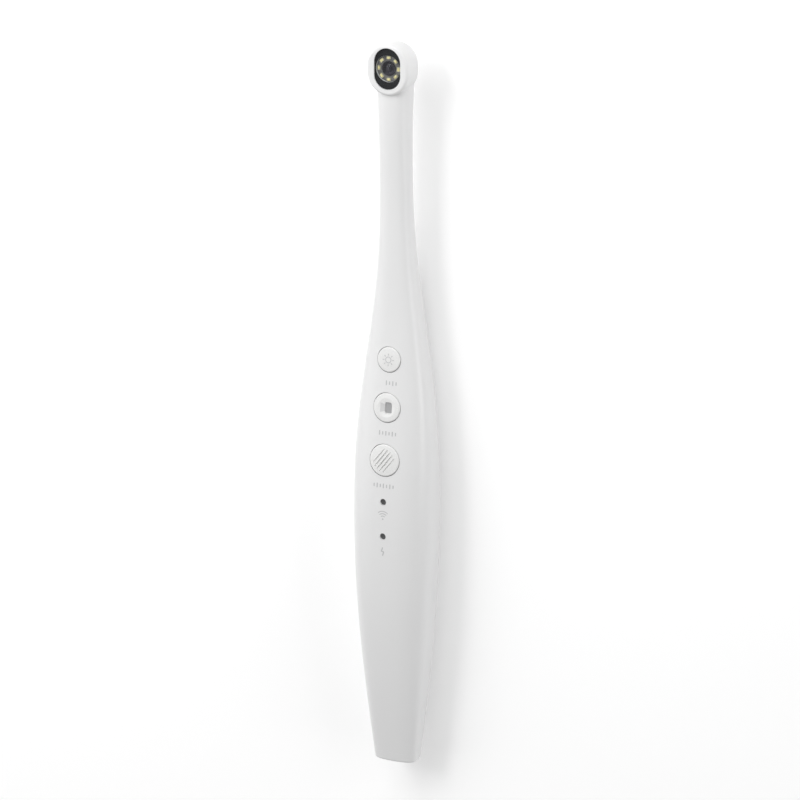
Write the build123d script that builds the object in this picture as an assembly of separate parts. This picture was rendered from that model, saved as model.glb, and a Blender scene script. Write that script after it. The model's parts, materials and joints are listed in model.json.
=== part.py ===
from build123d import *
import os
from math import cos, pi, sin

os.makedirs("parts", exist_ok=True)

# A slim wireless camera wand for looking into a mouth. All sizes are in millimetres.
# While modelling, x runs from the tail end to the tip of the head, y is the width,
# and z is the height above the plane where the two housing shells meet.
# The finished pieces are then moved so that the wand lies on its back on z = 0.

# Outline of the housing
length = 200.0
head_length = 13.8
head_width = 12.1
section_power = 2.5         # 2 is an ellipse, more is boxier
tail_half_width = 6.1
handle_half_width = 11.6
neck_half_width = 4.45
widest_at = 72.0
neck_width_from = 162.0
tail_front = 2.8            # heights of the front surface above the parting plane
handle_front = 8.1
neck_front = 3.1
front_crest_at = 58.0
neck_front_from = 146.0
tail_back = 6.5             # depths of the back surface below the parting plane
handle_back = 9.5
neck_back = 2.7
back_flat_from = 60.0       # the wand rests on this straight stretch of its back
back_flat_to = 103.0
neck_back_from = 180.0
neck_flare_width = 0.4      # the neck grows a little where it meets the head
neck_flare_from = 168.0
neck_flare_front = 1.4
head_face = 5.4             # height of the head's flat face
head_back = 2.7
face_edge_radius = 0.8
back_edge_radius = 2.6
wall = 1.3
section_step = 9.0

# Joint between the shells, and the tail cap
lip_height = 0.8
lip_gap = 0.05
lip_from = 9.0
lip_to = 176.0
cap_thickness = 2.6
cap_edge_radius = 0.7
cap_tab_length = 4.5
cap_tab_width = 5.0
cap_tab_thickness = 1.0
seat_gap = 0.1

# Window and optics in the head
window_shift = 0.3          # the window sits this much nearer the tip than the head's middle
window_length = 11.0
window_width = 7.7
window_thickness = 0.6
window_recess = 0.15
gasket_thickness = 0.25
aperture_diameter = 7.2
ledge_thickness = 0.5
led_board_diameter = 8.8
led_board_thickness = 0.5
led_count = 8
led_circle_diameter = 5.8
led_length = 1.0
led_width = 0.8
led_height = 0.4
lens_diameter = 4.0
lens_glass_diameter = 2.3
lens_glass_thickness = 0.8
lens_recess = 0.5
lens_gap = 0.1
holder_width = 6.4
holder_corner = 0.6
sensor_width = 3.6
sensor_thickness = 0.6
sensor_board_thickness = 0.7
flex_width = 4.0
flex_thickness = 0.25
flex_bend_radius = 10.0
flex_straight = 8.0

# Main board and what is soldered to it
board_top = -0.4
board_thickness = 1.0
board_half_width = 8.0
board_tail_half_width = 4.4
board_head_half_width = 5.2
board_head_end = 123.0
board_taper = 26.0
switch_width = 4.5
switch_height = 1.6
plunger_diameter = 1.8
plunger_gap = 0.06
plunger_length = 1.1
plunger_rise = 0.5         # more than the travel, so the stem stays clear of the switch body
connector_length = 4.0
connector_width = 5.6
connector_height = 1.0
processor_at = 35.0
processor_width = 7.0
processor_height = 0.9
radio_at = 51.0
radio_length = 14.0
radio_width = 11.0
radio_height = 2.2
radio_corner = 0.3
charger_at = 105.0
charger_width = 4.5
charger_height = 0.9
indicator_led_length = 1.6
indicator_led_width = 0.8
indicator_led_height = 0.6
screw_positions = (27.0, 94.1)
screw_radius = 0.75
screw_head_radius = 1.4
screw_head_height = 0.8
screw_depth = 4.0
screw_gap = 0.05
boss_radius = 1.6

# Battery behind the board
battery_at = 63.0
battery_length = 44.0
battery_width = 13.0
battery_thickness = 4.0
battery_edge_radius = 1.2
foam_thickness = 0.5
foam_margin = 2.0
lead_radius = 0.4
lead_spread = 2.0
lead_reach = 4.0
rib_count = 3
rib_thickness = 1.0
rib_spacing = 17.0

# Charging socket in the tail
socket_width = 8.94
socket_height = 3.16
socket_wall = 0.3
socket_length = 7.5
socket_recess = 0.4
socket_gap = 0.1
tongue_width = 6.7
tongue_thickness = 0.7
tongue_base = 2.5
tongue_setback = 0.8

# Push buttons: place along the wand and radius of the hole
brightness_at = 114.3
brightness_radius = 3.55
capture_at = 101.3
capture_radius = 4.1
power_at = 87.0
power_radius = 4.5
button_gap = 0.15
button_proud = 0.35
button_edge_radius = 0.35
button_dome_radius = 32.0
button_skirt = 0.9
button_roof = 1.1
button_travel = 0.4
stem_radius = 1.2
collar_wall = 0.8
flange_width = 0.6
flange_thickness = 0.5
flange_gap = 0.05
dish_depth = 0.35
dish_radius = 3.1
icon_length = 3.1
icon_width = 2.1
icon_depth = 0.25
icon_corner = 0.5
icon_offset = 0.55
groove_count = 5
groove_pitch = 0.95
groove_width = 0.42
groove_depth = 0.3
groove_reach = 3.2
groove_angle = -38.0

# Light guides over the two indicator lamps
wireless_guide_at = 75.5
charge_guide_at = 65.9
guide_hole_radius = 0.9
guide_gap = 0.05
guide_recess = 0.5
guide_flange_radius = 1.5
guide_flange_thickness = 0.6

# Places worked out from the sizes above
head_at = length - head_length / 2
window_at = head_at + window_shift
board_bottom = board_top - board_thickness
board_mid = board_top - board_thickness / 2
socket_back = socket_recess + socket_length
ledge_top = head_face - window_recess - window_thickness - gasket_thickness
ledge_bottom = ledge_top - ledge_thickness
head_floor = wall - head_back
sensor_board_top = head_floor + sensor_board_thickness
battery_top = board_bottom - foam_thickness
battery_bottom = battery_top - battery_thickness
plunger_top = board_top + switch_height + plunger_rise
beyond = 30.0               # larger than any half width, for cutting shapes


def ease(t):
    """Go from 0 to 1 with no slope or curvature at either end."""
    t = min(max(t, 0.0), 1.0)
    return t * t * t * (t * (6 * t - 15) + 10)


def rise(t):
    """Go from 0 to 1 steeply at first and level at the end."""
    return sin(pi / 2 * min(max(t, 0.0), 1.0))


def half_width(x):
    grown = tail_half_width + (handle_half_width - tail_half_width) * rise(x / widest_at)
    slimmed = (neck_half_width - handle_half_width) * ease((x - widest_at) / (neck_width_from - widest_at))
    return grown + slimmed + neck_flare_width * ease((x - neck_flare_from) / (head_at - neck_flare_from))


def front(x):
    grown = tail_front + (handle_front - tail_front) * rise(x / front_crest_at)
    slimmed = (neck_front - handle_front) * ease((x - front_crest_at) / (neck_front_from - front_crest_at))
    return grown + slimmed + neck_flare_front * ease((x - neck_front_from) / (head_at - neck_front_from))


def back(x):
    grown = tail_back + (handle_back - tail_back) * rise(x / back_flat_from)
    return grown + (neck_back - handle_back) * ease((x - back_flat_to) / (neck_back_from - back_flat_to))


def top_at(x, y, inset=0.0):
    """Height of the front surface, or of one sunk below it, at a place on the wand."""
    share = min(abs(y) / (half_width(x) - inset), 1.0)
    return (front(x) - inset) * (1 - share ** section_power) ** (1 / section_power)


def section(x, inset=0.0, points=24):
    """Closed cross-section of the housing at x, drawn that much inside its surface.

    Every section has its points at the same even marks, which keeps a loft through them light.
    """
    outline = []
    for i in range(points):
        angle = 2 * pi * i / points - pi / 2
        across, up = cos(angle), sin(angle)
        reach = front(x) if up > 0 else back(x)
        y = (half_width(x) - inset) * abs(across) ** (2 / section_power)
        z = (reach - inset) * abs(up) ** (2 / section_power)
        outline.append((x, y if across > 0 else -y, z if up > 0 else -z))
    marks = [i / points for i in range(points + 1)]
    return Face(Wire([Edge.make_spline(outline, periodic=True, parameters=marks)]))


def body(x_from, x_to, inset=0.0):
    """The housing's solid form between two places, that much inside its surface."""
    steps = max(round((x_to - x_from) / section_step), 2)
    stations = [x_from + (x_to - x_from) * i / steps for i in range(steps + 1)]
    return loft([section(x, inset) for x in stations])


def block(x_from, x_to, width, z_from, z_to):
    size = (x_to - x_from, width, z_to - z_from)
    return Pos((x_from + x_to) / 2, 0, (z_from + z_to) / 2) * Box(*size)


def rod(x, y, radius, z_from, z_to):
    return Pos(x, y, (z_from + z_to) / 2) * Cylinder(radius, z_to - z_from)


def slot(x, slot_length, slot_width, z_from, z_to):
    """Upright prism with straight sides and round ends, long along the wand."""
    return Pos(x, 0, z_from) * extrude(SlotOverall(slot_length, slot_width), z_to - z_from)


def head_form():
    form = slot(head_at, head_length, head_width, -head_back, head_face)
    form = fillet(form.edges().group_by(Axis.Z)[-1], face_edge_radius)
    return fillet(form.edges().group_by(Axis.Z)[0], back_edge_radius)


def head_cavity():
    return slot(head_at, head_length - 2 * wall, head_width - 2 * wall, head_floor, ledge_bottom)


buttons = {
    "brightness": (brightness_at, brightness_radius),
    "capture": (capture_at, capture_radius),
    "power": (power_at, power_radius),
}


def collar_foot(x, radius):
    """Level of the flat foot of a button's collar, just below the shell's inside."""
    reach = radius + collar_wall
    corner = reach * cos(pi / 4)
    places = ((x + reach, 0), (x, reach), (x + corner, corner))
    return min(top_at(px, py, wall) for px, py in places) - seat_gap


def front_shell():
    lip = body(lip_from, lip_to, wall / 2) & block(lip_from, lip_to, 2 * beyond, -lip_height, 0)
    form = body(cap_thickness, head_at) + head_form()
    form = form & block(cap_thickness, length, 2 * beyond, 0, beyond)
    cavity = body(cap_thickness - 1, head_at, wall)
    for x, radius in buttons.values():
        cavity -= rod(x, 0, radius + collar_wall, collar_foot(x, radius), beyond)
    for x in screw_positions:
        cavity -= rod(x, 0, boss_radius, board_top, beyond)
    form = form + lip - cavity - head_cavity()
    recess = slot(window_at, window_length + 2 * lip_gap, window_width + 2 * lip_gap, ledge_top, beyond)
    form = form - recess - rod(window_at, 0, aperture_diameter / 2, 0, beyond)
    for x, radius in buttons.values():
        form -= rod(x, 0, radius, 0, beyond)
    for x in (wireless_guide_at, charge_guide_at):
        form -= rod(x, 0, guide_hole_radius, 0, beyond)
    for x in screw_positions:
        form -= rod(x, 0, screw_radius + screw_gap, board_top, board_top + screw_depth)
    return form


def rear_shell():
    form = body(cap_thickness, head_at) + head_form()
    form = form & block(cap_thickness, length, 2 * beyond, -beyond, 0)
    cavity = body(cap_thickness - 1, head_at, wall)
    for i in range(rib_count):
        x = battery_at + (i - (rib_count - 1) / 2) * rib_spacing
        cavity -= block(x - rib_thickness / 2, x + rib_thickness / 2, 2 * beyond, -beyond, battery_bottom)
    rebate = body(lip_from - lip_gap, lip_to + lip_gap, wall / 2 - lip_gap)
    rebate = rebate & block(0, length, 2 * beyond, -lip_height - lip_gap, beyond)
    return form - cavity - rebate - head_cavity()


def tail_cap():
    plate = body(0, 2 * cap_thickness) & block(0, cap_thickness, 2 * beyond, -beyond, beyond)
    plate = fillet(plate.edges().group_by(Axis.X)[0], cap_edge_radius)
    tab_end = cap_thickness + cap_tab_length
    inside = body(0, 2 * tab_end, wall + seat_gap)
    lowest = top_at(cap_thickness, 0, wall + seat_gap)
    highest = wall + seat_gap - back(cap_thickness)
    upper = block(cap_thickness, tab_end, cap_tab_width, lowest - cap_tab_thickness, beyond)
    lower = block(cap_thickness, tab_end, cap_tab_width, -beyond, highest + cap_tab_thickness)
    form = plate + (inside & upper) + (inside & lower)
    return form - socket_prism(-1, socket_back, socket_gap)


def socket_prism(x_from, x_to, grown=0.0):
    """Prism with the charging socket's round-ended section, grown on every side."""
    outline = SlotOverall(socket_width + 2 * grown, socket_height + 2 * grown)
    return Plane.YZ.offset(x_from) * Pos(0, board_mid) * extrude(outline, x_to - x_from)


def usb_socket():
    tube = socket_prism(socket_recess, socket_back)
    return tube - socket_prism(socket_recess - 1, socket_back + 1, -socket_wall)


def usb_tongue():
    base = socket_prism(socket_back - tongue_base, socket_back, -socket_wall)
    half = tongue_thickness / 2
    blade = block(socket_recess + tongue_setback, socket_back, tongue_width, board_mid - half, board_mid + half)
    return base + blade


def window_gasket():
    ring = slot(window_at, window_length, window_width, ledge_top, ledge_top + gasket_thickness)
    return ring - rod(window_at, 0, aperture_diameter / 2, 0, beyond)


def window_glass():
    lower = ledge_top + gasket_thickness
    pane = slot(window_at, window_length, window_width, lower, lower + window_thickness)
    return chamfer(pane.edges().group_by(Axis.Z)[-1], seat_gap)


def led_board():
    disc = rod(window_at, 0, led_board_diameter / 2, ledge_bottom - led_board_thickness, ledge_bottom)
    return disc - rod(window_at, 0, lens_diameter / 2 + lens_gap, 0, beyond)


def white_leds():
    chip = Box(led_width, led_length, led_height)
    ring = PolarLocations(led_circle_diameter / 2, led_count)
    return Pos(window_at, 0, ledge_bottom + led_height / 2) * Compound([place * chip for place in ring])


lens_top = ledge_bottom + led_height / 2
holder_top = ledge_bottom - led_board_thickness
lens_bottom = sensor_board_top + sensor_thickness + lens_gap
lens_seat = lens_top - lens_recess


def lens_barrel():
    barrel = rod(window_at, 0, lens_diameter / 2, lens_bottom, lens_top)
    bore_radius = lens_glass_diameter / 2 - lens_gap
    barrel -= rod(window_at, 0, bore_radius, lens_bottom, lens_top)
    barrel -= rod(window_at, 0, lens_glass_diameter / 2, lens_seat - lens_glass_thickness, lens_top)
    mouth = Cone(lens_glass_diameter / 2, lens_diameter / 2 - 2 * lens_gap, lens_recess)
    return barrel - Pos(window_at, 0, lens_top - lens_recess / 2) * mouth


def lens_glass():
    radius = lens_glass_diameter / 2
    disc = rod(window_at, 0, radius, lens_seat - lens_glass_thickness, lens_seat)
    dome_radius = lens_glass_diameter
    dome = Pos(window_at, 0, lens_seat - dome_radius) * Sphere(dome_radius)
    return disc & dome


def lens_holder():
    block_form = block(window_at - holder_width / 2, window_at + holder_width / 2, holder_width,
                       sensor_board_top, holder_top)
    block_form = fillet(block_form.edges().filter_by(Axis.Z), holder_corner)
    block_form -= rod(window_at, 0, lens_diameter / 2, sensor_board_top, holder_top)
    pocket = sensor_width + 2 * lens_gap
    return block_form - block(window_at - pocket / 2, window_at + pocket / 2, pocket,
                              sensor_board_top, lens_bottom)


def image_sensor():
    return block(window_at - sensor_width / 2, window_at + sensor_width / 2, sensor_width,
                 sensor_board_top, sensor_board_top + sensor_thickness)


def sensor_board():
    return slot(head_at, head_length - 2 * wall - 2 * seat_gap, head_width - 2 * wall - 2 * seat_gap,
                head_floor, sensor_board_top)


flex_head_end = head_at - head_length / 2 + wall + seat_gap
connector_mouth = board_head_end - seat_gap


def flex_cable():
    sensor_level = head_floor + sensor_board_thickness / 2
    board_level = board_top + connector_height / 2
    route = FilletPolyline((flex_head_end, sensor_level), (flex_head_end - flex_straight, sensor_level),
                           (connector_mouth + flex_straight, board_level), (connector_mouth, board_level),
                           radius=flex_bend_radius)
    ribbon = trace(route, flex_thickness)
    return Plane.XZ.offset(-flex_width / 2) * extrude(ribbon, flex_width)


def flex_connector():
    return block(connector_mouth - connector_length, connector_mouth, connector_width,
                 board_top, board_top + connector_height)


def main_board():
    tail_end = socket_back
    outline = Polyline((tail_end, board_tail_half_width), (tail_end + board_taper, board_half_width),
                       (board_head_end - board_taper, board_half_width),
                       (board_head_end, board_head_half_width), (board_head_end, -board_head_half_width),
                       (board_head_end - board_taper, -board_half_width),
                       (tail_end + board_taper, -board_half_width), (tail_end, -board_tail_half_width),
                       close=True)
    board = Pos(0, 0, board_bottom) * extrude(make_face(outline), board_thickness)
    for x in screw_positions:
        board -= rod(x, 0, screw_radius + 2 * screw_gap, board_bottom, board_top)
    return board


def processor_chip():
    half = processor_width / 2
    return block(processor_at - half, processor_at + half, processor_width,
                 board_top, board_top + processor_height)


def wireless_module():
    can = block(radio_at - radio_length / 2, radio_at + radio_length / 2, radio_width,
                board_top, board_top + radio_height)
    return fillet(can.edges().group_by(Axis.Z)[-1], radio_corner)


def charger_chip():
    half = charger_width / 2
    return block(charger_at - half, charger_at + half, charger_width,
                 board_bottom - charger_height, board_bottom)


def battery():
    cell = block(battery_at - battery_length / 2, battery_at + battery_length / 2, battery_width,
                 battery_bottom, battery_top)
    return fillet(cell.edges().filter_by(Axis.X), battery_edge_radius)


def battery_foam():
    reach = battery_length / 2 - foam_margin
    return block(battery_at - reach, battery_at + reach, battery_width - 2 * foam_margin,
                 battery_top, board_bottom)


def battery_leads():
    start = battery_at + battery_length / 2
    level = (battery_bottom + battery_top) / 2
    route = FilletPolyline((start, 0, level), (start + lead_reach, 0, level),
                           (start + lead_reach, 0, board_bottom), radius=3 * lead_radius)
    wire = sweep(Plane(origin=(start, 0, level), z_dir=(1, 0, 0)) * Circle(lead_radius), route)
    return Compound([Pos(0, side * lead_spread, 0) * wire for side in (-1, 1)])


def board_screws():
    screws = []
    for x in screw_positions:
        head = rod(x, 0, screw_head_radius, board_bottom - screw_head_height, board_bottom)
        shank = rod(x, 0, screw_radius, board_bottom, board_top + screw_depth - seat_gap)
        screws.append(head + shank)
    return Compound(screws)


def switch_body(x):
    body_form = block(x - switch_width / 2, x + switch_width / 2, switch_width,
                      board_top, board_top + switch_height)
    floor = plunger_top - plunger_length - button_travel - plunger_gap
    return body_form - rod(x, 0, plunger_diameter / 2 + plunger_gap, floor, beyond)


def switch_plunger(x):
    return rod(x, 0, plunger_diameter / 2, plunger_top - plunger_length, plunger_top)


def cap_blank(x, radius):
    """Button cap with a domed top that follows the shell, a skirt, a flange and a stem."""
    foot = collar_foot(x, radius) - flange_gap - flange_thickness
    cap_radius = radius - button_gap
    slope = (front(x + 1) - front(x - 1)) / 2
    normal = Vector(-slope, 0, 1).normalized()
    crown = Vector(x, 0, front(x) + button_proud)
    dome = Pos(crown - normal * button_dome_radius) * Sphere(button_dome_radius)
    cap = rod(x, 0, cap_radius, foot, beyond) & dome
    cap = fillet(cap.faces().sort_by(Axis.Z)[-1].edges(), button_edge_radius)
    cap += rod(x, 0, radius + flange_width, foot, foot + flange_thickness)
    roof = front(x) + button_proud - button_roof - abs(slope) * cap_radius
    hollow = rod(x, 0, cap_radius - button_skirt, foot, roof) - rod(x, 0, stem_radius, foot, roof)
    cap -= hollow
    return cap + rod(x, 0, stem_radius, plunger_top, foot), crown, normal


def brightness_button():
    return cap_blank(brightness_at, brightness_radius)[0]


def capture_button():
    """Cap with a dished top and a sunk rounded square in it."""
    cap, crown, normal = cap_blank(capture_at, capture_radius)
    scoop_radius = (dish_radius ** 2 + dish_depth ** 2) / (2 * dish_depth)
    floor = crown - normal * dish_depth
    cap -= Pos(floor + normal * scoop_radius) * Sphere(scoop_radius)
    face = Plane(origin=floor - normal * icon_depth, x_dir=(normal.Z, 0, -normal.X), z_dir=normal)
    square = Pos(0, -icon_offset) * RectangleRounded(icon_length, icon_width, icon_corner)
    return cap - face * extrude(square, 1 + icon_depth)


def power_button():
    """Cap with slanting grooves across its top."""
    cap, crown, normal = cap_blank(power_at, power_radius)
    face = Plane(origin=crown - normal * groove_depth, x_dir=(normal.Z, 0, -normal.X), z_dir=normal)
    for i in range(groove_count):
        offset = (i - (groove_count - 1) / 2) * groove_pitch
        reach = 2 * (groove_reach ** 2 - offset ** 2) ** 0.5
        groove = Rot(0, 0, groove_angle) * Pos(0, offset) * SlotOverall(reach, groove_width)
        cap -= face * extrude(groove, 1 + groove_depth)
    return cap


def light_guide(x):
    ceiling = top_at(x, guide_flange_radius, wall) - seat_gap
    rest = board_top + indicator_led_height + seat_gap
    guide = rod(x, 0, guide_hole_radius - guide_gap, rest, front(x) - guide_recess)
    return guide + rod(x, 0, guide_flange_radius, ceiling - guide_flange_thickness, ceiling)


def indicator_led(x):
    return block(x - indicator_led_length / 2, x + indicator_led_length / 2, indicator_led_width,
                 board_top, board_top + indicator_led_height)


parts = {
    "front_shell": front_shell(),
    "rear_shell": rear_shell(),
    "tail_cap": tail_cap(),
    "usb_socket": usb_socket(),
    "usb_tongue": usb_tongue(),
    "window_gasket": window_gasket(),
    "window_glass": window_glass(),
    "led_board": led_board(),
    "white_leds": white_leds(),
    "lens_barrel": lens_barrel(),
    "lens_glass": lens_glass(),
    "lens_holder": lens_holder(),
    "image_sensor": image_sensor(),
    "sensor_board": sensor_board(),
    "flex_cable": flex_cable(),
    "flex_connector": flex_connector(),
    "main_board": main_board(),
    "processor_chip": processor_chip(),
    "wireless_module": wireless_module(),
    "charger_chip": charger_chip(),
    "battery": battery(),
    "battery_foam": battery_foam(),
    "battery_leads": battery_leads(),
    "board_screws": board_screws(),
    "brightness_button": brightness_button(),
    "capture_button": capture_button(),
    "power_button": power_button(),
    "wireless_light_guide": light_guide(wireless_guide_at),
    "charge_light_guide": light_guide(charge_guide_at),
    "wireless_led": indicator_led(wireless_guide_at),
    "charge_led": indicator_led(charge_guide_at),
}
for name, (x, radius) in buttons.items():
    parts[name + "_switch"] = switch_body(x)
    parts[name + "_plunger"] = switch_plunger(x)

to_floor = Pos(-length / 2, 0, handle_back)
for name, form in parts.items():
    export_step(to_floor * form, "parts/" + name + ".step")
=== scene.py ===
# %% [markdown]
# # A wireless camera wand for looking into a mouth
# The wand is a slim white housing with a round-ended window in its head, three push buttons and two
# indicator lights. It can't stand by itself, so it lies on its back, and the camera looks down on it.
# The construction comes in as a fixed frame. This script adds what the eye sees: the finish of every
# surface, the lamps and lens behind the window, the printed signs, and a plain studio.

# %% Load the frame
import json
import math

import bpy
from mathutils import Matrix, Vector


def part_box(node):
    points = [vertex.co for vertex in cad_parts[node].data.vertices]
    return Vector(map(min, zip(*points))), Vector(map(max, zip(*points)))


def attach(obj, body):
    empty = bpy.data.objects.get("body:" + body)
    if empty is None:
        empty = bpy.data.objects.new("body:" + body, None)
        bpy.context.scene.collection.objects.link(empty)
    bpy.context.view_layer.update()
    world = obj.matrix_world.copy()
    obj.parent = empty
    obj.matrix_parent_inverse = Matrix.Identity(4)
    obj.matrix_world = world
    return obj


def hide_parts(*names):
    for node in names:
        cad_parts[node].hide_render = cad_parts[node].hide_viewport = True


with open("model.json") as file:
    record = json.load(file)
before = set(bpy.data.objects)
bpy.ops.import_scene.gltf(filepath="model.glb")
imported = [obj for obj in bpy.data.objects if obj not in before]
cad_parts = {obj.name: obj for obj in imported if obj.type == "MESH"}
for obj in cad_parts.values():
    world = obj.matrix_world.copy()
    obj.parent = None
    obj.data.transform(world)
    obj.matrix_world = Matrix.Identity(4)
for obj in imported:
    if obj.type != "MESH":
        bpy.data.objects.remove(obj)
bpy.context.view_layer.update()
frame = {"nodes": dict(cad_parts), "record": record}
MM = 0.001
print("pieces in the frame:", len(frame["nodes"]))

# %% [markdown]
# ## The camera
# The picture was taken from far away with a long lens, so the wand looks almost flat. Its long side runs
# up the picture, seen from 27 degrees round towards the right and 16 degrees towards the head.
# Those two angles and the distance were worked out from the outlines of the round buttons and holes.

# %% Camera
picture_width = 800
around = math.radians(27.27)
towards_head = math.radians(16.18)
distance = 1.3
focal_pixels = 4853.8
middle_at = (396.38, 407.16)    # pixels from the picture's upper left corner
sensor_width = 36.0
far_limit = 20

aim = Vector((0, 0, 9.5 * MM))
backwards = Vector((math.sin(towards_head), -math.cos(towards_head) * math.sin(around),
                    math.cos(towards_head) * math.cos(around)))
up = (Vector((1, 0, 0)) - backwards * backwards.x).normalized()
right = up.cross(backwards)
bpy.ops.object.camera_add()
camera = bpy.context.object
turned = Matrix((right, up, backwards)).transposed().to_4x4()
camera.matrix_world = Matrix.Translation(aim + backwards * distance) @ turned
camera.data.sensor_width = sensor_width
camera.data.lens = focal_pixels * sensor_width / picture_width
camera.data.shift_x = (picture_width / 2 - middle_at[0]) / picture_width
camera.data.shift_y = (middle_at[1] - picture_width / 2) / picture_width
camera.data.clip_end = far_limit
bpy.context.scene.camera = camera
print("lens", round(camera.data.lens, 1), "mm")

# %% [markdown]
# ## Colours and shader nodes
# A colour is written as the eye reads it, in sRGB hex, and shaders want linear light, so one function
# turns one into the other. A second one adds a shader node, with its settings and its links.

# %% Helpers for materials
def linear(colour):
    """Linear numbers for a colour written as sRGB hex."""
    channels = [int(colour[i:i + 2], 16) / 255 for i in (1, 3, 5)]
    return [c / 12.92 if c <= 0.04045 else ((c + 0.055) / 1.055) ** 2.4 for c in channels] + [1.0]


def add(tree, kind, inputs=None, **settings):
    """Add a shader node, with its settings, and fill or link its inputs."""
    node = tree.nodes.new(kind)
    for name, value in settings.items():
        setattr(node, name, value)
    for socket, value in (inputs or {}).items():
        if isinstance(value, bpy.types.NodeSocket):
            tree.links.new(value, node.inputs[socket])
        else:
            node.inputs[socket].default_value = value
    return node


def new_material(name):
    """A material with its shader, and the place of each point on the object in metres."""
    material = bpy.data.materials.new(name)
    material.use_nodes = True
    tree = material.node_tree
    shader = tree.nodes["Principled BSDF"]
    place = add(tree, "ShaderNodeTexCoord").outputs["Object"]
    return material, tree, shader, place


# %% [markdown]
# ## Moulded plastic
# ABS comes out of its mould with the fine texture of the tool: a semi-gloss skin that blurs reflections a
# little. Its grain is a few hundredths of a millimetre, too fine for the picture, so it is drawn a few
# times coarser. Long flow marks change the tone by about one part in a hundred.

# %% Moulded plastics
grain_pitch = 0.25
grain_strength = 0.6
flow_pitch = 28.0


def moulded(name, colour, roughness, grain_depth=0.0012, tone=0.97, ior=1.53):
    """Injection-moulded plastic: fine grain, uneven gloss and a faint change of tone."""
    material, tree, shader, place = new_material(name)
    flow = add(tree, "ShaderNodeTexNoise", {"Vector": place, "Scale": 1 / (flow_pitch * MM), "Detail": 2.0})
    grain = add(tree, "ShaderNodeTexNoise", {"Vector": place, "Scale": 1 / (grain_pitch * MM), "Detail": 3.0})
    base = linear(colour)
    darker = [c * tone for c in base[:3]] + [1.0]
    mixed = add(tree, "ShaderNodeMix", {0: flow.outputs["Fac"], 6: darker, 7: base}, data_type="RGBA")
    gloss = add(tree, "ShaderNodeMapRange", {"Value": grain.outputs["Fac"], "To Min": roughness * 0.9,
                                             "To Max": roughness * 1.1})
    bump = add(tree, "ShaderNodeBump", {"Height": grain.outputs["Fac"], "Distance": grain_depth * MM,
                                        "Strength": grain_strength})
    tree.links.new(mixed.outputs[2], shader.inputs["Base Color"])
    tree.links.new(gloss.outputs["Result"], shader.inputs["Roughness"])
    tree.links.new(bump.outputs["Normal"], shader.inputs["Normal"])
    shader.inputs["IOR"].default_value = ior
    return material


# %% [markdown]
# ## Metals
# Turned and plated parts keep fine lines along the tool's path. Black anodising is a dyed oxide skin: the
# metal below still shines through a little at grazing angles. A metal keeps the default index.

# %% Metals
def metal(name, colour, roughness, line_pitch, along=(1.0, 1.0, 1.0), depth=0.0008):
    """Metal with fine lines, which run along the axis with the small number."""
    material, tree, shader, place = new_material(name)
    stretched = add(tree, "ShaderNodeMapping", {"Vector": place, "Scale": along})
    lines = add(tree, "ShaderNodeTexNoise", {"Vector": stretched.outputs["Vector"],
                                             "Scale": 1 / (line_pitch * MM), "Detail": 4.0})
    gloss = add(tree, "ShaderNodeMapRange", {"Value": lines.outputs["Fac"], "To Min": roughness * 0.75,
                                             "To Max": roughness * 1.25})
    bump = add(tree, "ShaderNodeBump", {"Height": lines.outputs["Fac"], "Distance": depth * MM})
    tree.links.new(gloss.outputs["Result"], shader.inputs["Roughness"])
    tree.links.new(bump.outputs["Normal"], shader.inputs["Normal"])
    shader.inputs["Base Color"].default_value = linear(colour)
    shader.inputs["Metallic"].default_value = 1.0
    return material


# %% [markdown]
# ## Clear pieces
# The window is flat clear glass, and light reaches the lamps and the lens through it. A ray tracer would
# shade what lies under solid glass, so shadow rays pass through as if it weren't there.

# %% Glass and clear plastics
def clear(name, colour, roughness=0.02, ior=1.5, dust_pitch=1.5, milk=0.0):
    """Clear, tinted or partly milky solid, with a trace of uneven polish."""
    material, tree, shader, place = new_material(name)
    haze = add(tree, "ShaderNodeTexNoise", {"Vector": place, "Scale": 1 / (dust_pitch * MM), "Detail": 4.0})
    polish = add(tree, "ShaderNodeMapRange", {"Value": haze.outputs["Fac"], "To Min": roughness * 0.5,
                                              "To Max": roughness * 1.5})
    tree.links.new(polish.outputs["Result"], shader.inputs["Roughness"])
    shader.inputs["Base Color"].default_value = linear(colour)
    shader.inputs["Transmission Weight"].default_value = 1.0 - milk
    shader.inputs["IOR"].default_value = ior
    passing = add(tree, "ShaderNodeBsdfTransparent", {"Color": linear(colour)})
    ray = add(tree, "ShaderNodeLightPath")
    mixed = add(tree, "ShaderNodeMixShader", {0: ray.outputs["Is Shadow Ray"], 1: shader.outputs["BSDF"],
                                              2: passing.outputs["BSDF"]})
    tree.links.new(mixed.outputs["Shader"], tree.nodes["Material Output"].inputs["Surface"])
    return material


# %% [markdown]
# ## One material for each real material
# Each name says what the piece is made of and how. The numbers start from typical values: ABS has an
# index near 1.53, silicone-free foam is dull, and a lamp's phosphor is a soft yellow gel.

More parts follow.
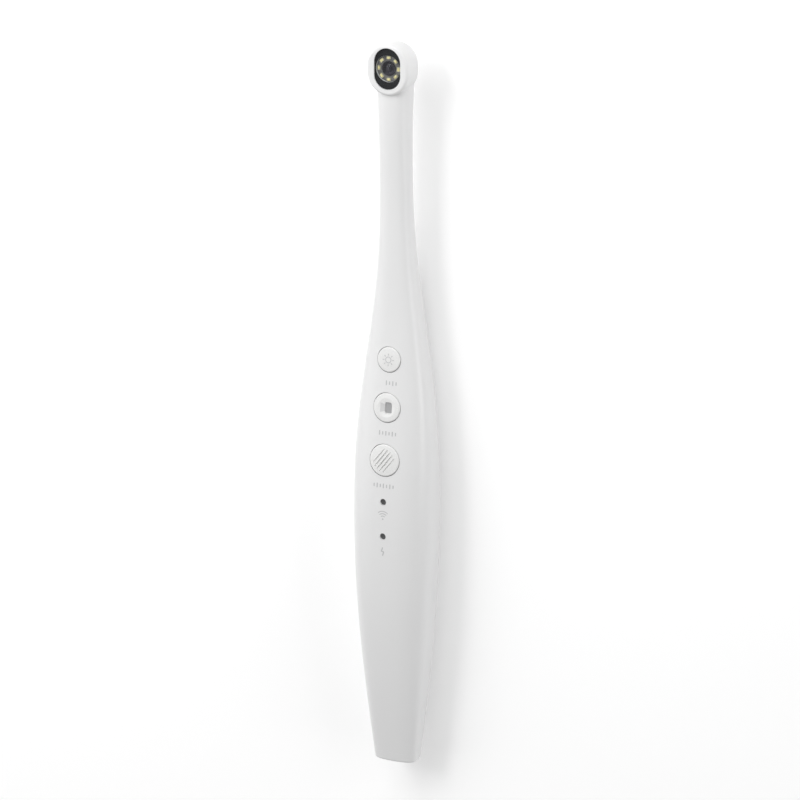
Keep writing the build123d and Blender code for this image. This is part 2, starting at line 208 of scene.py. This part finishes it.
# %% Finishes for the record's slots
finishes = {
    # White ABS from a fine-textured mould: bright, with soft blurred reflections.
    "shell_white": moulded("abs_white_moulded", "#e9e9e9", 0.30),
    "button_white": moulded("abs_white_key_cap", "#ebebea", 0.27),
    # Flat float glass over the optics: sharp clear reflections.
    "window_clear": clear("cover_glass_clear", "#f4f6f7", 0.01, 1.5),
    # Black closed-cell foam tape: almost no gloss.
    "gasket_black": moulded("foam_tape_black", "#2a2a2c", 0.7, 0.004),
    # White solder mask: an even satin lacquer.
    "led_board_white": moulded("solder_mask_white", "#c9c8c4", 0.4, 0.0006),
    # Phosphor gel in a lamp: a soft warm yellow.
    "led_phosphor": moulded("phosphor_gel_yellow", "#f0e2a0", 0.35, 0.0006, 0.9),
    # Turned aluminium, anodised black: dark with a slight sheen.
    "lens_black": metal("aluminium_anodised_black", "#38363c", 0.42, 0.05),
    # Coated lens: dark with a violet cast.
    "lens_glass": clear("lens_glass_coated", "#a79fbe", 0.01, 1.6),
    # Black moulded holder, dull so that no stray light reaches the chip.
    "holder_black": moulded("polycarbonate_black_dull", "#1d1d1e", 0.6),
    # Image sensor under its cover: near black with a green cast.
    "sensor_silicon": metal("silicon_polished", "#2c3a38", 0.15, 0.08),
    # Green solder mask over copper.
    "board_green": moulded("solder_mask_green", "#1f5a36", 0.32, 0.002, 0.85),
    # Black epoxy chip packages.
    "chip_black": moulded("epoxy_black", "#262628", 0.55),
    # Tinned sheet of the radio can.
    "shield_tin": metal("tin_plate", "#bcbcba", 0.3, 0.12, (0.2, 1.0, 1.0)),
    # Aluminium pouch foil of the cell, slightly crinkled.
    "battery_foil": metal("aluminium_pouch_foil", "#c2c5c8", 0.35, 0.9, depth=0.02),
    # Grey foam pad.
    "foam_grey": moulded("foam_pad_grey", "#4a4a4d", 0.85, 0.01),
    # Silicone-sleeved leads.
    "lead_red": moulded("silicone_red", "#a8281f", 0.45),
    # Polyimide film of the ribbon.
    "flex_amber": moulded("polyimide_amber", "#b5702a", 0.3, 0.0006, 0.85),
    # Ivory nylon of the connector.
    "connector_ivory": moulded("nylon_ivory", "#d9d2bd", 0.45),
    # Nickel-plated screws.
    "screw_steel": metal("steel_nickel_plated", "#b9b7b2", 0.28, 0.06),
    # Smoked acrylic light guides, a little milky: dark grey until they are lit.
    "guide_smoked": clear("acrylic_smoked", "#7a7a7c", 0.3, 1.49, milk=0.5),
    # Drawn steel shell of the socket.
    "socket_steel": metal("steel_drawn_nickel", "#bdbdbe", 0.25, 0.08, (0.15, 1.0, 1.0)),
    # Black nylon tongue of the socket.
    "tongue_black": moulded("nylon_black", "#202022", 0.5),
    "switch_black": moulded("nylon_black_switch", "#28282a", 0.5),
    "plunger_grey": moulded("acetal_grey", "#77787a", 0.4),
}
slot_of = {part["node"]: part["material_slot"] for part in frame["record"]["subparts"]}
for name, node in frame["nodes"].items():
    node.data.materials.clear()
    node.data.materials.append(finishes[slot_of[name]])
# Inks and prints that stand for no slot of the record. The two greys of the camera sign are painted shade,
# dark on its square and paler on its tapered block.
ink_pale_painted_shade = moulded("print_pale_grey_painted_shade", "#d2d2d2", 0.5, 0.0004)
ink_grey = moulded("pad_print_grey", "#c6c6c7", 0.5, 0.0004)
ink_dark_painted_shade = moulded("print_dark_grey_painted_shade", "#a9a9aa", 0.45, 0.0004)
mask_grey = moulded("solder_mask_dark_grey", "#646260", 0.45, 0.0004)
cup_cream = moulded("lamp_cup_cream", "#cfc7a8", 0.4, 0.0004)
print("finishes:", len(finishes))

# %% [markdown]
# ## Working with edit operators from code
# Every operator acts on what is selected, so each step first deselects everything, then picks faces,
# edges or corners by their place, as a hand would by clicking.

# %% Helpers for modelling
def start_piece():
    """Deselect everything, so that the next primitive is alone."""
    if bpy.context.object and bpy.context.object.mode != "OBJECT":
        bpy.ops.object.mode_set(mode="OBJECT")
    bpy.ops.object.select_all(action="DESELECT")


def take(piece):
    """Select one piece alone and make it the active one."""
    start_piece()
    piece.select_set(True)
    bpy.context.view_layer.objects.active = piece


def pick(piece, kind, test):
    """In edit mode, select only the corners, edges or faces whose middle passes the test."""
    bpy.ops.object.mode_set(mode="EDIT")
    bpy.ops.mesh.select_mode(type=kind)
    bpy.ops.mesh.select_all(action="DESELECT")
    bpy.ops.object.mode_set(mode="OBJECT")
    mesh = piece.data
    if kind == "FACE":
        for face in mesh.polygons:
            face.select = test(face.center)
    elif kind == "EDGE":
        for edge in mesh.edges:
            edge.select = test(sum((mesh.vertices[i].co for i in edge.vertices), Vector()) / 2)
    else:
        for vertex in mesh.vertices:
            vertex.select = test(vertex.co)
    bpy.ops.object.mode_set(mode="EDIT")


def settle(piece):
    """Back to object mode, with the place, turn and size put into the mesh."""
    take(piece)
    bpy.ops.object.transform_apply(location=True, rotation=True, scale=True)
    return piece


def modify(piece, kind, **settings):
    """Add one modifier and apply it."""
    take(piece)
    modifier = piece.modifiers.new(kind.lower(), kind)
    for name, value in settings.items():
        setattr(modifier, name, value)
    bpy.ops.object.modifier_apply(modifier=modifier.name)
    return piece


def join(pieces, name):
    """One object out of several."""
    start_piece()
    for piece in pieces:
        piece.select_set(True)
    bpy.context.view_layer.objects.active = pieces[0]
    if len(pieces) > 1:
        bpy.ops.object.join()
    pieces[0].name = name
    return settle(pieces[0])


def finish_piece(piece, name, material, body, replaced=(), smooth_angle=35):
    """Name a piece, give it its material, hang it on the body it rides on and hide the frame's nodes that it
    stands for.
    """
    take(piece)
    bpy.ops.object.shade_smooth_by_angle(angle=math.radians(smooth_angle))
    piece.name = name
    piece.data.materials.clear()
    piece.data.materials.append(material)
    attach(piece, body)
    if replaced:
        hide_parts(*replaced)
    print(name, len(piece.data.polygons), "faces")
    return piece


def middle(node):
    """Middle of a node's box, in metres."""
    low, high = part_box(node)
    return (Vector(low) + Vector(high)) / 2


# %% [markdown]
# ## The ring of lamps
# Eight small lamps light the tooth evenly from all round the lens. Each is a moulded cup, about 1 mm long,
# filled with yellow phosphor. One cup is modelled from a cube: its top is inset and pushed down, and its
# corners are bevelled. The phosphor is a flat dome that stands a little above the rim. Both are then
# copied round the ring.

# %% Lamps
led_count = 8
low, high = (Vector(corner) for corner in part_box("white_leds"))
optics = (low + high) / 2
led_length, led_width, led_height = 1.15 * MM, 0.8 * MM, high.z - low.z
led_ring_radius = (high.x - low.x) / 2 - led_width / 2
cup_wall = 0.07 * MM
cup_depth = 0.12 * MM
cup_slope = 0.03 * MM
cup_corner = 0.08 * MM
cup_edge = 0.02 * MM
gel_swell = 2.2             # height of the gel as a share of the cup's depth
hair = 0.01 * MM            # tolerance when corners, edges and faces are picked by their place


def led_cup():
    """Cup of one lamp, with its middle at the origin."""
    start_piece()
    bpy.ops.mesh.primitive_cube_add(size=1)
    cup = bpy.context.object
    cup.dimensions = (led_width, led_length, led_height)
    settle(cup)
    pick(cup, "EDGE", lambda p: abs(p.z) < hair)
    bpy.ops.mesh.bevel(offset=cup_corner, segments=2)
    pick(cup, "FACE", lambda p: p.z > led_height / 2 - hair)
    bpy.ops.mesh.inset(thickness=cup_wall, depth=0)
    bpy.ops.mesh.inset(thickness=cup_slope, depth=-cup_depth)
    settle(cup)
    return modify(cup, "BEVEL", width=cup_edge, segments=1, limit_method="ANGLE")


def led_gel():
    """Domed phosphor in the cup."""
    start_piece()
    bpy.ops.mesh.primitive_uv_sphere_add(segments=20, ring_count=12, radius=0.5)
    gel = bpy.context.object
    gel.dimensions = (led_width - 2 * cup_wall, led_length - 2 * cup_wall, cup_depth * gel_swell)
    gel.location.z = led_height / 2 - cup_depth / 2
    return settle(gel)


def round_the_ring(piece, name):
    """Copies of one lamp part at even steps round the lens."""
    copies = [piece]
    for _ in range(1, led_count):
        take(piece)
        bpy.ops.object.duplicate()
        copies.append(bpy.context.object)
    for i, copy in enumerate(copies):
        turn = Matrix.Rotation(2 * math.pi * i / led_count, 4, "Z")
        copy.data.transform(Matrix.Translation(optics) @ turn @ Matrix.Translation((led_ring_radius, 0, 0)))
    return join(copies, name)


cups = round_the_ring(led_cup(), "lamp_cups")
finish_piece(cups, "lamp_cups", cup_cream, "housing", ["white_leds"])
gels = round_the_ring(led_gel(), "lamp_phosphor")
finish_piece(gels, "lamp_phosphor", finishes["led_phosphor"], "housing", ["white_leds"])

# %% [markdown]
# ## The lens barrel
# The barrel is turned from bar. Its mouth goes down to the glass in fine steps, which trap stray light.
# It starts as a cylinder, and its top face is inset and pushed down again and again.

# %% Lens barrel and front lens
low, high = (Vector(corner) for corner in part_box("lens_barrel"))
glass_low, glass_high = (Vector(corner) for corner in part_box("lens_glass"))
barrel_radius = (high.x - low.x) / 2
glass_radius = (glass_high.x - glass_low.x) / 2
mouth_steps = 4
rim_width = 0.2 * MM
glass_overlap = 0.05 * MM
riser_share = 0.1           # part of each step that slopes
barrel_edge = 0.025 * MM
lens_height = 0.7 * MM
lens_sunk = 0.2 * MM

start_piece()
bpy.ops.mesh.primitive_cylinder_add(vertices=64, radius=barrel_radius, depth=high.z - low.z,
                                    location=(optics.x, optics.y, (low.z + high.z) / 2))
barrel = settle(bpy.context.object)
pick(barrel, "FACE", lambda p: p.z > high.z - hair)
bpy.ops.mesh.inset(thickness=rim_width, depth=0)
step_in = (barrel_radius - rim_width - glass_radius + glass_overlap) / mouth_steps
step_down = (high.z - glass_high.z) / mouth_steps
for i in range(mouth_steps):
    bpy.ops.mesh.inset(thickness=step_in * riser_share, depth=-step_down)
    bpy.ops.mesh.inset(thickness=step_in * (1 - riser_share), depth=0)
settle(barrel)
modify(barrel, "BEVEL", width=barrel_edge, segments=2, limit_method="ANGLE", angle_limit=math.radians(30))
finish_piece(barrel, "lens_barrel_turned", finishes["lens_black"], "housing", ["lens_barrel"])

start_piece()
bpy.ops.mesh.primitive_uv_sphere_add(segments=48, ring_count=24, radius=1)
front_lens = bpy.context.object
front_lens.dimensions = (2 * glass_radius, 2 * glass_radius, lens_height)
front_lens.location = (optics.x, optics.y, glass_high.z - lens_sunk)
settle(front_lens)
finish_piece(front_lens, "lens_front_glass", finishes["lens_glass"], "housing", ["lens_glass"])

# %% [markdown]
# ## Printed signs
# The signs are pad-printed: a rubber pad lays thin grey ink on the finished surface. Each sign is drawn
# flat above the wand, dropped straight down onto the surface below, and given the thickness of ink.
# They are plain signs that many devices share: a sun, a camera, a fan of waves and a bolt. The camera's two
# greys are painted shade, darkest on its right.
# The small marks under the buttons are bare strokes.

# %% Drawing tools for the signs
ink_thickness = 0.03 * MM
ink_gap = 0.3 * ink_thickness
lift = 30 * MM              # the signs are drawn at this height, clear above the wand
stroke_round = 0.45         # corner of a stroke as a share of its width
weld = 0.005 * MM


def stroke(x, y, length, width, turn=0.0):
    """Flat bar round a place on the wand, with its length along the wand before it is turned."""
    start_piece()
    bpy.ops.mesh.primitive_plane_add(size=1)
    bar = bpy.context.object
    bar.dimensions = (length, width, 0)
    bar.rotation_euler.z = math.radians(turn)
    bar.location = (x, y, lift)
    settle(bar)
    pick(bar, "VERT", lambda p: True)
    bpy.ops.mesh.bevel(offset=width * stroke_round, segments=3, affect="VERTICES")
    return settle(bar)


def arc(x, y, radius, width, from_angle, sweep, steps=14):
    """Flat band along part of a circle, clockwise from an angle, 0 degrees being towards the head."""
    start_piece()
    bpy.ops.mesh.primitive_plane_add(size=width, location=(x + radius, y + width / 2, lift))
    band = settle(bpy.context.object)
    pick(band, "VERT", lambda p: p.y > y + width / 2)
    bpy.ops.mesh.delete(type="VERT")
    bpy.ops.mesh.select_all(action="SELECT")
    bpy.ops.mesh.spin(steps=steps, angle=math.radians(sweep), center=(x, y, lift), axis=(0, 0, 1))
    bpy.ops.mesh.select_all(action="SELECT")
    bpy.ops.mesh.remove_doubles(threshold=weld)
    settle(band)
    turn = Matrix.Rotation(math.radians(from_angle), 4, "Z")
    band.data.transform(Matrix.Translation((x, y, 0)) @ turn @ Matrix.Translation((-x, -y, 0)))
    return band


def dot(x, y, radius):
    """Flat round spot."""
    start_piece()
    bpy.ops.mesh.primitive_circle_add(vertices=20, radius=radius, fill_type="NGON", location=(x, y, lift))
    return settle(bpy.context.object)


def print_on(pieces, name, node, body, ink, cuts=0):
    """Drop flat shapes onto a node's surface and give them the thickness of ink."""
    sign = join(pieces, name)
    if cuts:
        pick(sign, "FACE", lambda p: True)
        bpy.ops.mesh.subdivide(number_cuts=cuts)
        settle(sign)
    modify(sign, "SHRINKWRAP", target=frame["nodes"][node], wrap_method="PROJECT", use_project_z=True,
           use_negative_direction=True, use_positive_direction=False, offset=ink_gap)
    modify(sign, "SOLIDIFY", thickness=ink_thickness, offset=1.0)
    take(sign)
    bpy.ops.object.mode_set(mode="EDIT")
    bpy.ops.mesh.select_all(action="SELECT")
    bpy.ops.mesh.normals_make_consistent(inside=False)
    settle(sign)
    return finish_piece(sign, name, ink, body)


# %% [markdown]
# ## The mask on the lamp board
# The white board carries a dark printed mask between its lamps, so that little stray light comes back into
# the lens. Only a narrow rim and the cut edge of the board stay white.

# %% Printed mask
mask_rim = 0.12 * MM
board_low, board_high = (Vector(corner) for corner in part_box("led_board"))
mask_width = (board_high.x - board_low.x) / 2 - mask_rim - barrel_radius
mask = arc(optics.x, optics.y, barrel_radius + mask_width / 2, mask_width, 0, 360, 96)
mask.data.transform(Matrix.Translation((0, 0, board_high.z - lift)))
modify(mask, "SOLIDIFY", thickness=2 * ink_thickness, offset=0)
finish_piece(mask, "lamp_board_mask", mask_grey, "housing")

# %% Signs on the buttons
brightness = middle("brightness_button")
capture = middle("capture_button")
power = middle("power_button")
sun_radius = 0.8 * MM
ray_count = 8
ray_gap = 0.35 * MM
ray_length = 0.55 * MM
line = 0.24 * MM
sun = [arc(brightness.x, brightness.y, sun_radius, line, 0, 360, 28)]
for i in range(ray_count):
    angle = 2 * math.pi * i / ray_count
    reach = sun_radius + ray_gap + ray_length / 2
    sun.append(stroke(brightness.x + reach * math.cos(angle), brightness.y + reach * math.sin(angle),
                      ray_length, line, math.degrees(angle)))
print_on(sun, "sun_sign", "brightness_button", "brightness_key", ink_grey)

# The camera sign's square is printed dark as painted shade, as the right part of a recess lies in shadow.
square_length, square_width, square_corner, square_offset = 2.9 * MM, 1.9 * MM, 0.4 * MM, 0.55 * MM
start_piece()
bpy.ops.mesh.primitive_plane_add(size=1)
square = bpy.context.object
square.dimensions = (square_length, square_width, 0)
square.location = (capture.x, capture.y - square_offset, lift)
settle(square)
pick(square, "VERT", lambda p: True)
bpy.ops.mesh.bevel(offset=square_corner, segments=5, affect="VERTICES")
settle(square)
print_on([square], "camera_sign_square_painted_shade", "capture_button", "capture_key", ink_dark_painted_shade)

# The tapered block beside the square is printed in a paler painted shade, which fades towards the light on
# the left.
horn_length, horn_width, horn_gap, horn_taper = 2.6 * MM, 1.3 * MM, 0.1 * MM, 0.7
horn_from = square_width / 2 - square_offset + horn_gap
start_piece()
bpy.ops.mesh.primitive_plane_add(size=1)
horn = bpy.context.object
horn.dimensions = (horn_length, horn_width, 0)
horn.location = (capture.x, capture.y + horn_from + horn_width / 2, lift)
settle(horn)
pick(horn, "VERT", lambda p: p.y < capture.y + horn_from + hair)
bpy.ops.transform.resize(value=(horn_taper, 1, 1), center_override=(capture.x, capture.y, lift))
settle(horn)
print_on([horn], "camera_sign_horn_painted_shade", "capture_button", "capture_key", ink_pale_painted_shade, cuts=4)

# %% Signs and strokes on the housing
mark_rows = {
    # place along the wand, middle of the row across it, number of strokes
    "brightness_marks": (brightness.x - 6.3 * MM, -1.0 * MM, 4),
    "capture_marks": (capture.x - 6.9 * MM, -0.6 * MM, 6),
    "power_marks": (power.x - 7.0 * MM, 0.0 * MM, 7),
}
mark_pitch = 0.95 * MM
mark_tall, mark_short, mark_width = 1.3 * MM, 0.95 * MM, 0.3 * MM
for name, (x, y, count) in mark_rows.items():
    marks = []
    for i in range(count):
        length = mark_tall if i % 2 else mark_short
        marks.append(stroke(x, y + (i - (count - 1) / 2) * mark_pitch, length, mark_width))
    print_on(marks, name, "front_shell", "housing", ink_grey)

wireless = middle("wireless_light_guide")
charge = middle("charge_light_guide")
fan_foot = wireless.x - 4.7 * MM
fan_dot = 0.22 * MM
fan_radii = (0.85 * MM, 1.5 * MM, 2.15 * MM)
fan_half_angle = 42
fan = [dot(fan_foot, wireless.y, fan_dot)]
for radius in fan_radii:
    fan.append(arc(fan_foot, wireless.y, radius, line, fan_half_angle, 2 * fan_half_angle))
print_on(fan, "wireless_sign", "front_shell", "housing", ink_grey)

bolt_at = charge.x - 4.2 * MM
limb_length, limb_ahead, limb_aside, limb_lean = 1.3 * MM, 0.55 * MM, 0.18 * MM, -16
cross_length, cross_lean = 0.95 * MM, 78
bolt = [stroke(bolt_at + limb_ahead, limb_aside, limb_length, mark_width, limb_lean),
        stroke(bolt_at, 0.0, cross_length, mark_width, cross_lean),
        stroke(bolt_at - limb_ahead, -limb_aside, limb_length, mark_width, limb_lean)]
print_on(bolt, "charge_sign", "front_shell", "housing", ink_grey)

# %% [markdown]
# ## The studio
# The wand lies on a pale table. To the camera, and in reflections, the table is lifted to white, but only
# by as much as leaves the wand's own shadow on it. Nothing of that light falls on the wand.

# %% Table and surroundings
table_size = 6.0
table_colour = "#f2f2f2"
table_lift = 0.24

start_piece()
bpy.ops.mesh.primitive_plane_add(size=table_size)
table = settle(bpy.context.object)
table.name = "table"
material, tree, shader, place = new_material("table_paper_white")
shader.inputs["Base Color"].default_value = linear(table_colour)
shader.inputs["Roughness"].default_value = 0.9
shader.inputs["Specular IOR Level"].default_value = 0.1
ray = add(tree, "ShaderNodeLightPath")
seen = add(tree, "ShaderNodeMath", {0: ray.outputs["Is Camera Ray"], 1: ray.outputs["Is Glossy Ray"]},
           operation="MAXIMUM")
seen = add(tree, "ShaderNodeMath", {0: seen.outputs[0], 1: ray.outputs["Is Transmission Ray"]},
           operation="MAXIMUM")
amount = add(tree, "ShaderNodeMath", {0: seen.outputs[0], 1: table_lift}, operation="MULTIPLY")
glow = add(tree, "ShaderNodeEmission", {"Strength": amount.outputs[0]})
both = add(tree, "ShaderNodeAddShader", {0: shader.outputs["BSDF"], 1: glow.outputs["Emission"]})
tree.links.new(both.outputs["Shader"], tree.nodes["Material Output"].inputs["Surface"])
table.data.materials.append(material)

world_level = 0.34
world = bpy.data.worlds.new("studio")
bpy.context.scene.world = world
world.use_nodes = True
tree = world.node_tree
ray = add(tree, "ShaderNodeLightPath")
level = add(tree, "ShaderNodeMapRange", {"Value": ray.outputs["Is Camera Ray"], "To Min": world_level,
                                         "To Max": 1.0})
tree.links.new(level.outputs["Result"], tree.nodes["Background"].inputs["Strength"])
tree.nodes["Background"].inputs["Color"].default_value = (1, 1, 1, 1)

# %% [markdown]
# ## The lamps
# A large softbox stands on the left of the picture, nearer the head than the tail. It lights the left
# flank of the wand evenly and ends above it, which draws the soft step along the neck and the handle.
# A large card on the right fills the other flank. Two small softboxes light the front. The one further
# back stands so far towards the head that the flat window doesn't mirror it to the camera.

# %% Softboxes
def softbox(name, turn, along, reach, size, power):
    """Area lamp, turned from straight above towards the left of the picture, and facing the wand."""
    position = Vector((along, reach * math.sin(math.radians(turn)), reach * math.cos(math.radians(turn))))
    start_piece()
    bpy.ops.object.light_add(type="AREA", location=position)
    lamp = bpy.context.object
    lamp.name = name
    lamp.data.shape = "RECTANGLE"
    lamp.data.size, lamp.data.size_y = size
    lamp.data.energy = power
    facing = (position - aim).normalized()
    side = Vector((1, 0, 0))
    across = facing.cross(side).normalized()
    side = across.cross(facing)
    turned = Matrix((side, across, facing)).transposed().to_4x4()
    lamp.matrix_world = Matrix.Translation(position) @ turned
    return lamp


softbox("left_softbox", turn=58, along=0.15, reach=0.8, size=(0.9, 0.7), power=2.25)
softbox("right_card", turn=-72, along=0.15, reach=0.9, size=(0.8, 0.5), power=3.1)
softbox("head_softbox", turn=20, along=0.45, reach=0.35, size=(0.3, 0.5), power=1.25)
softbox("top_softbox", turn=25, along=0.38, reach=0.8, size=(0.4, 0.25), power=1.75)
bpy.context.scene.view_settings.view_transform = "Standard"
